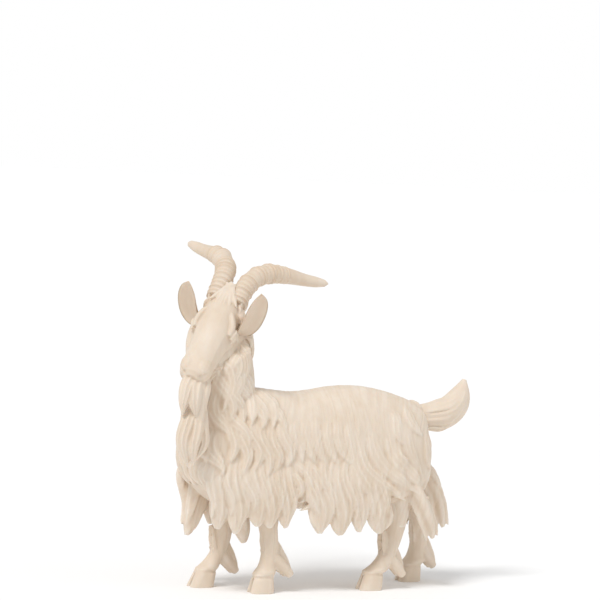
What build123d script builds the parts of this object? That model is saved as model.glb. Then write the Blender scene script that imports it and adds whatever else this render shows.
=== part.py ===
"""Carved wooden goat: a standing long-haired billy goat in plain linden wood, for a nativity scene.

The figure is glued up from carved blocks. The body block carries the neck and the shaggy coat. The head
sits on the neck's sloping saw cut, the horns, tail and legs are doweled on, and the ears have turned
tenons. Lengths are millimetres. The goat looks along -X, its left side is -Y, and it stands on Z = 0.
"""

import math
import os

from build123d import *

# The goat's own centre on the ground, in the part's frame. Points below are measured from it.
datum = Vector(-5.59, -10.67, 0)

# Trunk and coat
back_height = 69.2  # ground to the highest point of the back
coat_half_width = 14.0  # at the widest station, over the loins
belly_height = 28.0  # underside of the coat's solid part
front_seat_height = 32.0  # flat bottoms of the leg mortises
hind_seat_height = 35.0
seat_gap = 0.15  # glue room round a leg in its mortise

# Head: its pose, and the distance from the poll to the nose
head_yaw = 41.5  # degrees to the goat's left
head_pitch = 43.0  # degrees below the horizon
head_roll = 17.5  # degrees, left side down
head_length = 31.0
poll_place = (-31.0, -1.0, 98.0)
neck_cut_depth = 10.0  # saw cut below the forehead line

# Horns, ears and tail
horn_base_radius = 3.25
horn_marks = [0, 0.5, 0.62, 0.76, 0.9, 0.97, 1]  # shares of a horn's length
horn_girths = [1, 1.06, 0.98, 0.76, 0.62, 0.42, 0.1]  # shares of its base radius
horn_ring_depth = 0.3
horn_rings = 14
left_ear_path = [(7.0, -7.4, 7.6), (9.4, -5.6, 7.0), (11.0, -1.4, 5.0), (12.0, 3.2, 3.0), (12.8, 8.0, 1.6)]
right_ear_path = [(-7.0, -7.4, 7.6), (-9.4, -5.6, 7.2), (-11, -1.8, 6), (-11.8, 2.4, 4.8), (-12.3, 6.2, 3.8)]
# Which way each ear's hollow faces, in the head's frame: left, then right
ear_faces = {1: (0.6, -0.2, 0.77), -1: (-0.4, 0.25, 0.88)}
ear_leaf = [(1.8, 1.4), (3.2, 1.4), (4.0, 1.3), (2.9, 1.1), (0.5, 0.4)]  # half width and half thickness
ear_tenon_radius = 0.9
ear_tenon_length = 3.0

# Legs
leg_half_spacing = 7.0  # from the median plane to each leg's centre line
coronet_height = 6.2  # top of the horn of the hoof
hoof_length = 8.6
hoof_width = 7.4

# Hardwood dowels: radius and length. Each hole is deeper than its dowel by glue_room at each end.
neck_dowel_size = (1.5, 7.0)
leg_dowel_size = (1.25, 12.0)
tail_dowel_size = (1.25, 10.0)
horn_dowel_size = (0.9, 7.0)
glue_room = 0.5
dowel_chamfer = 0.3


def spot(x, y, z):
    """A point given from the goat's own centre: back along +x, to its right along +y, up along +z."""
    return datum + Vector(x, y, z)


def head_frame():
    """Plane at the poll: x to the goat's left, y out of the forehead, z along the face to the nose."""
    yaw, pitch, roll = (math.radians(a) for a in (head_yaw, head_pitch, head_roll))
    level = math.cos(pitch)
    ahead = Vector(-level * math.cos(yaw), -level * math.sin(yaw), -math.sin(pitch))
    left_level = Vector(math.sin(yaw), -math.cos(yaw), 0)
    up_level = ahead.cross(left_level)
    left = left_level * math.cos(roll) - up_level * math.sin(roll)
    return Plane(origin=spot(*poll_place), x_dir=left, z_dir=ahead)


head_plane = head_frame()


def on_head(across, up, along):
    """A point in the head's own frame, as a point of the part."""
    return head_plane.from_local_coords(Vector(across, up, along))


def square_plane(point, direction, across):
    """Plane at a point, square to a direction, with its x axis as near to across as it can be."""
    normal = Vector(direction).normalized()
    across = Vector(across)
    return Plane(origin=point, x_dir=across - normal * across.dot(normal), z_dir=normal)


def taper(points, radii, across=(0, 1, 0), ruled=False, mode=Mode.ADD):
    """Loft through ellipses set square to a path. Each radius pair is along and square to across."""
    sections = []
    for i, (point, (wide, deep)) in enumerate(zip(points, radii)):
        before = points[max(i - 1, 0)]
        after = points[min(i + 1, len(points) - 1)]
        with BuildSketch(square_plane(point, after - before, across)) as section:
            Ellipse(wide, deep)
        sections.append(section.sketch)
    loft(sections, ruled=ruled, mode=mode)


def dowel(seat, size, name):
    """Dowel centred on a joint's seat, along the seat plane's normal."""
    radius, length = size
    with BuildPart() as pin:
        with BuildSketch(seat.offset(-length / 2)):
            Circle(radius)
        extrude(amount=length)
        chamfer(pin.edges().filter_by(GeomType.CIRCLE), dowel_chamfer)
    pin.part.label = name
    return pin.part


def dowel_hole(seat, size):
    """Blind hole for half of a dowel, drilled into the wood behind the seat plane."""
    radius, length = size
    with Locations(seat):
        Hole(radius, depth=length / 2 + glue_room)


def facing_back(seat):
    """The same seat seen from the mating piece."""
    return Plane(origin=seat.origin, x_dir=seat.x_dir, z_dir=-seat.z_dir)


# Trunk stations: distance behind the centre, half width, underside and top
trunk_stations = [
    (-42.0, 4.8, 43, 56),
    (-38.6, 9.8, 36, 61),
    (-31.0, 12.2, 30, 66.3),
    (-20.0, 13.2, belly_height, 68.2),
    (-7.0, 13.4, belly_height, 67.0),
    (5.0, 13.6, belly_height, 68.2),
    (16.0, coat_half_width, belly_height, back_height),
    (27.5, 13.6, 28.5, 67.8),
    (36.0, 12.4, 30, 65.4),
    (41.5, 10.0, 33, 63),
    (45.0, 5.5, 41, 58),
]

# Neck stations: height, distance behind the centre, half length and half width
neck_stations = [
    (43, -30.5, 10.5, 10.5),
    (55, -31.5, 11.2, 10.4),
    (68, -31.6, 11.0, 9.6),
    (80, -31.0, 9.6, 8.2),
    (96, -30.0, 8.0, 6.6),
]

# Tongues of hair along the hem of one side: distance behind the centre, distance from the median
# plane, height of the tip, half width, and how far the tip leans back
hem_tongues = [
    (-33.0, 9.8, 22.0, 3.4, -1.0),
    (-27.5, 11.2, 20.5, 3.4, -0.5),
    (-21.0, 12.2, 23.0, 3.8, 0.5),
    (-16.5, 12.5, 22.4, 3.4, 0.3),
    (-11.5, 12.6, 22.4, 2.8, 1.0),
    (15.6, 13.0, 20.6, 3.0, 1.0),
    (22.5, 12.8, 20.0, 4.2, 2.0),
]
left_tongues = [(1.2, 13.0, 20.4, 3.8, 0.9), (8.6, 13.0, 19.6, 4.2, 1.2)]
right_tongues = [(-33.5, 9.8, 17.0, 3.2, -3.3), (-4.6, 12.8, 22.6, 3.4, 0.5)]
tongue_root_height = 42.0
tongue_thickness = 1.7

# Tuft of brisket hair hanging between the front legs
brisket_points = [(-27, 0, 40), (-25, 0, 30), (-21.5, 0, 22), (-19.9, 0, 15.6)]
brisket_radii = [(5.0, 5.0), (3.6, 4.0), (3.0, 3.4), (0.9, 1.0)]

# Tufts of hair swept back from the thighs: points from inside the coat to the tip, and their radii
rump_tufts = [
    [(35, -9.0, 42), (38.5, -10.0, 34), (43, -10.0, 26), (46.5, -9.5, 17.5)],
    [(39, 8.5, 44), (42.5, 10.0, 35), (46, 10.0, 27), (48.5, 9.5, 20)],
    [(38, 6.0, 46), (47, 6.6, 38), (52.5, 6.6, 28), (53.5, 6.0, 18.5)],
    [(39, 5.0, 50), (48.5, 5.4, 40), (55, 5.8, 29), (58.6, 6.0, 18.8)],
]
rump_tuft_radii = [(3.6, 2.8), (3.8, 2.6), (3.4, 2.2), (0.9, 0.8)]

# Thighs that swell out of the coat above the hind legs: the left one is set forward
left_thigh_points = [(29, -4.0, 55), (29.5, -6.6, 43), (31, -7.3, 32)]
left_thigh_radii = [(7.0, 5.0), (7.8, 6.3), (6.4, 5.2)]
right_thigh_points = [(34, 3.0, 55), (39, 5.8, 43), (43.5, 7.0, 33)]
right_thigh_radii = [(6.0, 5.0), (7.2, 6.6), (6.4, 5.6)]

# Each leg: height, distance behind the centre, half length and half width, from its seat down to the
# coronet, then how far the hoof's sole is set forward, and the line of the tuft behind the pastern
legs = {
    "leg_front_left": (
        [
            (front_seat_height, -15.2, 4.6, 3.8),
            (26, -14.8, 4.0, 3.5),
            (19.8, -14.1, 3.2, 2.9),
            (15.5, -13.5, 3.0, 2.7),
            (8.5, -14.5, 3.0, 2.9),
            (coronet_height, -15.2, 3.6, 3.3),
        ],
        0.9,
        [(-13.5, 13.5), (-9.6, 9.6), (-5.4, 5.6)],
    ),
    "leg_front_right": (
        [
            (front_seat_height, -24.2, 4.6, 3.8),
            (26, -24.6, 4.0, 3.5),
            (18, -25.0, 3.3, 3.0),
            (13.5, -25.6, 3.0, 2.7),
            (9, -27.8, 3.0, 2.9),
            (coronet_height, -30.0, 3.6, 3.3),
        ],
        2.2,
        [(-26.2, 12.5), (-23.0, 8.6), (-18.9, 4.6)],
    ),
    "leg_hind_left": (
        [
            (hind_seat_height, 27.0, 5.6, 3.9),
            (29, 31.0, 4.8, 3.6),
            (22, 33.0, 3.8, 3.2),
            (16, 32.0, 3.1, 2.8),
            (11, 30.0, 3.2, 2.9),
            (coronet_height, 25.8, 3.9, 3.3),
        ],
        1.7,
        [(30.5, 12.0), (33.6, 8.0), (36.9, 4.6)],
    ),
    "leg_hind_right": (
        [
            (hind_seat_height, 43.0, 4.8, 3.9),
            (28, 47.6, 4.2, 3.5),
            (21, 49.2, 3.5, 3.1),
            (14, 49.6, 3.1, 2.8),
            (9.5, 48.8, 3.1, 2.9),
            (coronet_height, 47.4, 3.7, 3.3),
        ],
        1.2,
        [(49.6, 12.5), (52.8, 8.6), (56.6, 4.7)],
    ),
}


def leg_side(name):
    """Which side of the median plane a leg is on: -1 for left, 1 for right."""
    return -1 if name.endswith("left") else 1


# Joint seats. Each plane lies in the glued face and its normal points out of the body or the head.
neck_seat = Plane(origin=on_head(0, -neck_cut_depth, 5.0), x_dir=head_plane.x_dir, z_dir=head_plane.y_dir)
tail_seat = Plane(origin=spot(42.6, 0, 58.2), x_dir=(0, 1, 0), z_dir=(1, 0, 0.05))
leg_seats = {}
for name, (stations, _, _) in legs.items():
    height, x = stations[0][:2]
    foot = spot(x, leg_side(name) * leg_half_spacing, height)
    leg_seats[name] = Plane(origin=foot, x_dir=(1, 0, 0), z_dir=(0, 0, -1))


def shaft(name, room, mode=Mode.ADD):
    """The leg from its seat to the coronet, grown by some room when it is the hollow the leg sits in."""
    y = leg_side(name) * leg_half_spacing
    sections = []
    for height, x, long, wide in legs[name][0]:
        with BuildSketch(Plane(origin=spot(x, y, height))) as section:
            Ellipse(long + room, wide + room)
        sections.append(section.sketch)
    loft(sections, mode=mode)


def horn_path(side):
    """Centre line of one horn in the head's frame: up from the poll, then sweeping outwards."""
    line = [
        (3.7, -2.0, 0.4),
        (4.0, -1.4, -6.5),
        (5.4, -2.6, -13.5),
        (8.6, -5.6, -19.5),
        (13.2, -9.6, -24.2),
        (19.2, -13.6, -28.2),
        (25.4, -16.4, -31.8),
    ]
    return [on_head(side * across, up, along) for across, up, along in line]


def horn_seat(side):
    """Seat of a horn on the skull, square to the horn's first stretch."""
    root, second = horn_path(side)[:2]
    return square_plane(root, second - root, head_plane.x_dir)


def ear_line(side):
    """Centre line of an ear, from the side of the skull out and up to its tip."""
    path = left_ear_path if side == 1 else right_ear_path
    return [on_head(*point) for point in path]


def ear_front(side):
    """Direction that the hollow of an ear faces."""
    across, up, along = ear_faces[side]
    return head_plane.x_dir * across + head_plane.y_dir * up + head_plane.z_dir * along


def ear_seat(side):
    """Seat of an ear on the side of the skull; its x axis runs across the leaf."""
    root, second = ear_line(side)[:2]
    return square_plane(root, second - root, ear_front(side).cross(second - root))


def trunk_section(station):
    """Outline of the coat across the animal: a rounded back over fuller, hanging sides."""
    x, half, bottom, top = station
    height = top - bottom
    right_side = [
        (half * 0.66, height * 0.01),
        (half * 0.97, height * 0.12),
        (half, height * 0.38),
        (half * 0.86, height * 0.74),
        (half * 0.45, height * 0.955),
    ]
    left_side = [(-across, up) for across, up in reversed(right_side)]
    with BuildSketch(Plane(origin=spot(x, 0, bottom), x_dir=(0, 1, 0), z_dir=(1, 0, 0))) as section:
        with BuildLine():
            Spline((0, 0), *right_side, (0, height), *left_side, periodic=True)
        make_face()
    return section.sketch


def hem_tongue(tongue, side):
    """One carved tongue of hair, from inside the coat down to its tip."""
    x, y, tip, half, lean = tongue
    drop = tongue_root_height - tip
    line = [(0.0, -3.6, 0.0), (0.1, -1.4, 0.4), (0.45, -0.5, 0.74), (1.0, -0.3, 1.0)]
    widths = [half * 0.9, half * 1.1, half, half * 0.25]
    points = [spot(x + lean * a, side * (y + b), tongue_root_height - drop * c) for a, b, c in line]
    radii = [(w, tongue_thickness if w > 1.5 else 0.7) for w in widths]
    taper(points, radii, across=(1, 0, 0))


with BuildPart() as body:
    loft([trunk_section(station) for station in trunk_stations])
    for height, x, long, wide in neck_stations:
        with BuildSketch(Plane(origin=spot(x, 0, height))):
            Ellipse(long, wide)
    loft()
    split(bisect_by=neck_seat, keep=Keep.BOTTOM)
    taper([spot(*p) for p in left_thigh_points], left_thigh_radii)
    taper([spot(*p) for p in right_thigh_points], right_thigh_radii)
    for tuft in rump_tufts:
        taper([spot(*p) for p in tuft], rump_tuft_radii)
    for tongue in hem_tongues + left_tongues:
        hem_tongue(tongue, -1)
    for tongue in hem_tongues + right_tongues:
        hem_tongue(tongue, 1)
    taper([spot(*p) for p in brisket_points], brisket_radii)
    # Mortises with flat bottoms that the legs are glued into
    for name in legs:
        shaft(name, seat_gap, mode=Mode.SUBTRACT)
    # Flat for the tail's foot
    with BuildSketch(tail_seat):
        Ellipse(3.8, 5.2)
    extrude(amount=8, mode=Mode.SUBTRACT)
    dowel_hole(neck_seat, neck_dowel_size)
    dowel_hole(tail_seat, tail_dowel_size)
    for seat in leg_seats.values():
        dowel_hole(seat, leg_dowel_size)
body.part.label = "body"

# Head stations: distance from the poll, half width, and the top and bottom of the section
head_stations = [
    (-4.0, 4.0, -3.0, -10.5),
    (-2.0, 5.8, -0.8, -11.5),
    (3.0, 7.2, 0.6, -12.2),
    (8.5, 7.9, 1.0, -12.6),
    (13.5, 7.0, 0.6, -12.4),
    (19.0, 5.6, 0.1, -11.8),
    (25.0, 5.0, -0.3, -11.0),
    (29.5, 4.8, -0.9, -10.4),
    (head_length, 3.0, -3.0, -8.4),
]

# Beard, in the part's frame: points from the chin down
beard_points = [(-42.6, -8.6, 75), (-46.4, -12, 69), (-47.4, -14, 61), (-47.0, -14, 52), (-47.0, -13.4, 43)]
beard_radii = [(4.0, 3.2), (4.8, 3.4), (5.0, 3.4), (4.4, 3.0), (0.9, 0.9)]

with BuildPart() as head:
    for along, half, top, bottom in head_stations:
        with BuildSketch(head_plane.offset(along)):
            with Locations((0, (top + bottom) / 2)):
                Ellipse(half, (top - bottom) / 2)
    loft()
    # Brow ridges over the eyes
    for side in (-1, 1):
        brow_line = ((5.6, -1.2, 6.0), (7.6, -2.2, 9.5), (7.4, -4.4, 13.0))
        brow = [on_head(side * a, b, c) for a, b, c in brow_line]
        taper(brow, [(1.2, 1.2), (1.7, 1.7), (1.0, 1.0)])
    split(bisect_by=neck_seat, keep=Keep.TOP)
    taper([spot(*p) for p in beard_points], beard_radii, across=(0.6, -0.8, 0))
    # Flats for the horns
    for side in (-1, 1):
        with BuildSketch(horn_seat(side)):
            Circle(horn_base_radius + seat_gap)
        extrude(amount=8, mode=Mode.SUBTRACT)
        dowel_hole(horn_seat(side), horn_dowel_size)
        with BuildSketch(ear_seat(side)):
            Circle(3.8)
        extrude(amount=6, mode=Mode.SUBTRACT)
        clearance = [(wide + seat_gap, deep + seat_gap) for wide, deep in ear_leaf]
        taper(ear_line(side), clearance, across=ear_seat(side).x_dir, mode=Mode.SUBTRACT)
        with Locations(ear_seat(side)):
            Hole(ear_tenon_radius, depth=ear_tenon_length + glue_room)
    dowel_hole(facing_back(neck_seat), neck_dowel_size)
head.part.label = "head"


def horn_girth(t):
    """Share of the base radius at a share of the horn's length."""
    for (a, low), (b, high) in zip(zip(horn_marks, horn_girths), zip(horn_marks[1:], horn_girths[1:])):
        if t <= b:
            return low + (high - low) * (t - a) / (b - a)
    return horn_girths[-1]


def horn(side, name):
    """Ringed horn: ridges and grooves alternate along the lower two thirds, and the tip is smooth."""
    with BuildPart() as piece:
        with BuildLine(mode=Mode.PRIVATE) as path:
            centre_line = Spline(*horn_path(side))
        steps = 3 * horn_rings
        for i in range(steps + 1):
            t = i / steps
            ring = 1 - (horn_ring_depth / horn_base_radius) * (i % 2) * (t < 0.7)
            swell = horn_base_radius * horn_girth(t)
            radius = max(swell * ring, 0.3)
            direction = centre_line % t
            if i == 0:
                direction = horn_seat(side).z_dir
            with BuildSketch(square_plane(centre_line @ t, direction, head_plane.y_dir)):
                Ellipse(radius, radius * (1 - 0.18 * t))
        loft(ruled=True)
        dowel_hole(facing_back(horn_seat(side)), horn_dowel_size)
    piece.part.label = name
    return piece.part


def ear(side, name):
    """Leaf-shaped ear, hollowed in front, with a turned tenon at its root."""
    seat = ear_seat(side)
    points = ear_line(side)
    front = ear_front(side)
    with BuildPart() as piece:
        taper(points, ear_leaf, across=seat.x_dir)
        hollow = [p + front * 1.4 for p in points[1:]]
        dish = [(1.4, 0.6), (2.8, 1.0), (1.8, 0.8), (0.3, 0.2)]
        taper(hollow, dish, across=seat.x_dir, mode=Mode.SUBTRACT)
        with BuildSketch(seat):
            Circle(ear_tenon_radius)
        extrude(amount=-ear_tenon_length)
    piece.part.label = name
    return piece.part


with BuildPart() as tail:
    tail_line = [(42.6, 58.2), (47.0, 58.6), (52.4, 59.4), (56.6, 62.0), (59.09, 66.4), (60.4, 71.6)]
    tail_radii = [(3.2, 4.4), (3.4, 4.8), (3.6, 5.4), (3.6, 5.2), (3.0, 3.8), (0.7, 0.8)]
    taper([spot(x, 0, z) for x, z in tail_line], tail_radii)
    split(bisect_by=tail_seat, keep=Keep.TOP)
    dowel_hole(facing_back(tail_seat), tail_dowel_size)
tail.part.label = "tail"


def leg(name):
    """One leg with its cloven hoof and the tuft of hair behind the pastern."""
    stations, forward, tuft_line = legs[name]
    side = leg_side(name)
    y = side * leg_half_spacing
    foot_x = stations[-1][1]
    with BuildPart() as piece:
        shaft(name, 0)
        # Hoof: wider at the sole and set forward of the coronet
        with BuildSketch(Plane(origin=spot(foot_x - forward, y, 0))):
            RectangleRounded(hoof_length, hoof_width, 2.8)
        with BuildSketch(Plane(origin=spot(foot_x - 0.2, y, coronet_height))):
            RectangleRounded(hoof_length * 0.8, hoof_width * 0.86, 2.6)
        loft()
        # Cleft between the two claws
        toe_x = foot_x - forward - hoof_length / 2
        with BuildSketch(Plane(origin=spot(toe_x, y, 0))):
            Polygon((-1, -0.8), (5.2, 0), (-1, 0.8), align=None)
        extrude(amount=coronet_height - 1.2, mode=Mode.SUBTRACT)
        # Tuft behind the pastern
        tuft = [spot(x, y + side * 0.3 * i, z) for i, (x, z) in enumerate(tuft_line)]
        taper(tuft, [(2.2, 2.0), (2.6, 2.2), (1.3, 1.2)])
        dowel_hole(facing_back(leg_seats[name]), leg_dowel_size)
    piece.part.label = name
    return piece.part


made = [body.part, head.part, tail.part]
made.append(dowel(neck_seat, neck_dowel_size, "neck_dowel"))
made.append(dowel(tail_seat, tail_dowel_size, "tail_dowel"))
for side, word in ((1, "left"), (-1, "right")):
    made.append(horn(side, f"horn_{word}"))
    made.append(ear(side, f"ear_{word}"))
    made.append(dowel(horn_seat(side), horn_dowel_size, f"horn_dowel_{word}"))
for name, seat in leg_seats.items():
    made.append(leg(name))
    made.append(dowel(seat, leg_dowel_size, name.replace("leg", "leg_dowel")))

os.makedirs("parts", exist_ok=True)
for piece in made:
    export_step(piece, f"parts/{piece.label}.step")

whole = Compound(children=made).bounding_box()
print("lowest corner", whole.min, "highest corner", whole.max)
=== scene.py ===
"""Looks of the carved goat: every carved piece of wood modelled over the CAD frame, its wood and its stage.

Lengths inside the modelling helpers are millimetres in the part's frame: the goat looks along -X, its
left side is -Y and it stands on Z = 0. A finished piece is scaled to metres when it becomes an object.
"""

import math
import random

import bpy
import numpy as np
from mathutils import Matrix, Vector
from mathutils.bvhtree import BVHTree
from mathutils.kdtree import KDTree


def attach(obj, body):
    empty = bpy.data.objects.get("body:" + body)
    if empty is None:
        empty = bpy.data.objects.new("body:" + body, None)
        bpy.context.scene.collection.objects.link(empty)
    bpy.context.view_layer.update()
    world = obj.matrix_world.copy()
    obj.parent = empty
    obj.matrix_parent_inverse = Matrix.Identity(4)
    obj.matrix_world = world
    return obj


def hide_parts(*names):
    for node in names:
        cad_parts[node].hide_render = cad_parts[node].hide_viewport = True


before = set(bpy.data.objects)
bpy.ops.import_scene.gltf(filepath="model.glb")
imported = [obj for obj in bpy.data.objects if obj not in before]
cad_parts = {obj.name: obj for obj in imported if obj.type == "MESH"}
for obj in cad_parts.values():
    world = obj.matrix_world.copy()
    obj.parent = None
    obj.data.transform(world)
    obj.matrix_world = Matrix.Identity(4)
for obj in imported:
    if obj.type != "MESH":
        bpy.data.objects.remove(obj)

bl_info = {
    "name": "Carved Goat",
    "version": (1, 0, 0),
    "blender": (4, 5, 0),
    "location": "3D View > Sidebar > Carved Goat",
    "description": "Models a carved wooden goat over its CAD frame",
    "category": "Object",
}

MM = 0.001
DATUM = Vector((-5.59, -10.67, 0.0))  # the goat's own centre on the ground, in the part's frame
HEAD_TURN = (41.5, 43.0, 17.5)  # degrees: turned to its left, tipped down, rolled left side down
POLL = (-31.0, -1.0, 98.0)  # from the goat's own centre
LEG_SPACING = 7.0  # each leg's distance from the median plane


# Places ------------------------------------------------------------------------------------------


def spot(x, y, z):
    """A point given from the goat's own centre: back along +x, to its right along +y, up along +z."""
    return DATUM + Vector((x, y, z))


def head_axes():
    """Directions of the head: to the goat's left, out of the forehead, and along the face to the nose."""
    yaw, pitch, roll = (math.radians(a) for a in HEAD_TURN)
    level = math.cos(pitch)
    ahead = Vector((-level * math.cos(yaw), -level * math.sin(yaw), -math.sin(pitch)))
    left_level = Vector((math.sin(yaw), -math.cos(yaw), 0))
    up_level = ahead.cross(left_level)
    left = left_level * math.cos(roll) - up_level * math.sin(roll)
    return left, ahead.cross(left), ahead


LEFT, UP, AHEAD = head_axes()


def on_head(across, up, along):
    """A point in the head's own frame, as a point of the part."""
    return spot(*POLL) + LEFT * across + UP * up + AHEAD * along


# Lines and lumps ---------------------------------------------------------------------------------


def flowing(points, count):
    """Evenly stepped points along a smooth curve through the given ones."""
    knots = [np.array(p, float) for p in points]
    knots = [2 * knots[0] - knots[1], *knots, 2 * knots[-1] - knots[-2]]
    dense = []
    for a, b, c, d in zip(knots, knots[1:], knots[2:], knots[3:]):
        for t in np.linspace(0, 1, 12, endpoint=False):
            square, cube = 2 * a - 5 * b + 4 * c - d, 3 * b - 3 * c + d - a
            dense.append(0.5 * (2 * b + (c - a) * t + square * t**2 + cube * t**3))
    dense.append(knots[-2])
    dense = np.array(dense)
    reach = np.concatenate([[0], np.cumsum(np.linalg.norm(np.diff(dense, axis=0), axis=1))])
    wanted = np.linspace(0, reach[-1], count)
    return [Vector([np.interp(w, reach, dense[:, k]) for k in range(3)]) for w in wanted]


def headings(path):
    """Unit direction at each point of a path."""
    last = len(path) - 1
    return [(path[min(i + 1, last)] - path[max(i - 1, 0)]).normalized() for i in range(last + 1)]


class Clay:
    """Closed lumps gathered as points and faces, ready to be fused into one surface."""

    def __init__(self):
        self.points = []
        self.faces = []

    def node(self, name):
        """Adds a CAD node's own mesh."""
        first = len(self.points)
        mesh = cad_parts[name].data
        self.points.extend(v.co * 1000 for v in mesh.vertices)
        self.faces.extend(tuple(first + i for i in p.vertices) for p in mesh.polygons)

    def rings(self, rings):
        """Adds one closed lump through rings of points, each ring the same length."""
        first, count = len(self.points), len(rings[0])
        for ring in rings:
            self.points.extend(ring)
        for i in range(len(rings) - 1):
            low = first + i * count
            for j in range(count):
                k = (j + 1) % count
                self.faces.append((low + j, low + k, low + count + k, low + count + j))
        last = first + (len(rings) - 1) * count
        self.faces.append(tuple(first + j for j in reversed(range(count))))
        self.faces.append(tuple(last + j for j in range(count)))

    def lump(self, points, radii, across, sides=18, steps=None):
        """Adds a rounded lump along a curve. Each radius pair is along and square to across."""
        count = steps or 3 * len(points)
        path = flowing(points, count)
        marks = np.linspace(0, 1, len(radii))
        rings = []
        for i, (point, ahead) in enumerate(zip(path, headings(path))):
            t = i / (count - 1)
            wide = np.interp(t, marks, [r[0] for r in radii])
            deep = np.interp(t, marks, [r[1] for r in radii])
            side = (Vector(across) - ahead * ahead.dot(Vector(across))).normalized()
            out = side.cross(ahead)
            rings.append(
                [
                    point + side * (wide * math.cos(a)) + out * (deep * math.sin(a))
                    for a in np.linspace(0, 2 * math.pi, sides, endpoint=False)
                ]
            )
        self.rings(rings)

    def ball(self, centre, radii, axes=None):
        """Adds an ellipsoid. Its axes default to the part's own."""
        axes = axes or (Vector((1, 0, 0)), Vector((0, 1, 0)), Vector((0, 0, 1)))
        rings = []
        for polar in np.linspace(0.12, math.pi - 0.12, 9):
            ring = []
            for turn in np.linspace(0, 2 * math.pi, 16, endpoint=False):
                across = math.sin(polar) * math.cos(turn) * radii[0]
                along = math.sin(polar) * math.sin(turn) * radii[1]
                up = axes[2] * math.cos(polar) * radii[2]
                ring.append(centre + axes[0] * across + axes[1] * along + up)
            rings.append(ring)
        self.rings(rings)

    def lock(self, path, outs, width, thick, strands=3, bury=0.9, lift=0.7, blunt=0.06):
        """Adds one lock of hair: a tapering blade of several strands whose tip stands off the surface."""
        last = len(path) - 1
        rings = []
        for i, (point, ahead, out) in enumerate(zip(path, headings(path), outs)):
            t = i / last
            side = out.cross(ahead).normalized()
            out = ahead.cross(side).normalized()
            swell = 0.4 + 0.6 * math.sin(min(t / 0.42, 1) * math.pi / 2)
            fall = 1 - max(0.0, (t - 0.45) / 0.55) ** 1.9
            wide = width * (swell * fall + blunt)
            high = thick * min(0.15 + t / 0.4, 1) * (fall**0.6 * 0.9 + 0.1)
            low = bury * (0.3 + 0.7 * fall)
            base = point + out * (thick * (lift * t - 0.35))
            top = []
            for q in np.linspace(-1, 1, 11):
                bead = 0.82 * (1 - abs(q) ** 3.4) + 0.18 * math.cos(strands * math.pi * q) * (1 - q * q)
                top.append(base + side * (wide * q) + out * (high * max(bead, 0)))
            under = []
            for q in (0.75, 0.4, 0, -0.4, -0.75):
                under.append(base + side * (wide * q) - out * (low * (1 - q * q)))
            rings.append(top + under)
        self.rings(rings)


# Surfaces ----------------------------------------------------------------------------------------


class Hide:
    """The surface that hair lies on, made from CAD nodes."""

    def __init__(self, *names):
        clay = Clay()
        for name in names:
            clay.node(name)
        self.tree = BVHTree.FromPolygons([tuple(p) for p in clay.points], clay.faces)

    def nearest(self, point):
        """The nearest place on the surface and its outward direction."""
        place, normal, _, _ = self.tree.find_nearest(point)
        return place, normal

    def side(self, x, side, z):
        """The place on one side at that distance behind the centre and that height."""
        hit = self.tree.ray_cast(spot(x, side * 40, z), Vector((0, -side, 0)))
        return hit[0], hit[1]

    def round(self, x, y, z, turn):
        """The place in one direction from an upright axis, turn being measured from straight back."""
        way = Vector((math.cos(turn), math.sin(turn), 0))
        hit = self.tree.ray_cast(spot(x, y, z) + way * 40, -way)
        return hit[0], hit[1]

    def trace(self, start, normal, length, heading, wave, phase, turns=1.0, steps=13, hang=36.0):
        """A line of hair over the surface. Below the height hang it drops free of the surface."""
        point, out = start.copy(), normal.copy()
        path, outs = [point.copy()], [out.copy()]
        for i in range(steps):
            t = (i + 1) / steps
            want = heading(point - DATUM, out)
            flat = want - out * want.dot(out)
            flat.normalize()
            across = out.cross(flat)
            angle = wave * math.sin(2 * math.pi * turns * t + phase)
            probe = point + (flat * math.cos(angle) + across * math.sin(angle)) * (length / steps)
            if probe.z < hang:
                point = probe
                out = Vector((out.x, out.y, out.z * 0.6)).normalized()
            else:
                point, fresh = self.nearest(probe)
                out = (out * 0.55 + fresh * 0.45).normalized()
            path.append(point.copy())
            outs.append(out.copy())
        return path, outs


def smoothed(points, edges, rounds, shrink=0.5, swell=-0.52):
    """Points evened out over their neighbours, without losing volume."""
    count = np.bincount(edges.ravel(), minlength=len(points)).astype(float)
    count[count == 0] = 1
    for i in range(rounds * 2):
        total = np.empty_like(points)
        for k in range(3):
            sums = np.bincount(edges[:, 0], weights=points[edges[:, 1], k], minlength=len(points))
            sums += np.bincount(edges[:, 1], weights=points[edges[:, 0], k], minlength=len(points))
            total[:, k] = sums
        step = shrink if i % 2 == 0 else swell
        points = points + (total / count[:, None] - points) * step
    return points


def mesh_arrays(mesh):
    """A mesh's points, edges and point normals as arrays."""
    points = np.empty(len(mesh.vertices) * 3)
    mesh.vertices.foreach_get("co", points)
    edges = np.empty(len(mesh.edges) * 2, dtype=np.int64)
    mesh.edges.foreach_get("vertices", edges)
    normals = np.empty(len(mesh.vertices) * 3, dtype=np.float32)
    mesh.vertex_normals.foreach_get("vector", normals)
    return points.reshape(-1, 3), edges.reshape(-1, 2), normals.reshape(-1, 3).astype(float)


def through_modifier(mesh, kind, **settings):
    """The mesh after one modifier."""
    obj = bpy.data.objects.new("work", mesh)
    bpy.context.scene.collection.objects.link(obj)
    modifier = obj.modifiers.new(kind, kind)
    for key, value in settings.items():
        setattr(modifier, key, value)
    bpy.context.view_layer.update()
    result = bpy.data.meshes.new_from_object(obj.evaluated_get(bpy.context.evaluated_depsgraph_get()))
    bpy.data.objects.remove(obj)
    bpy.data.meshes.remove(mesh)
    return result


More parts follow.
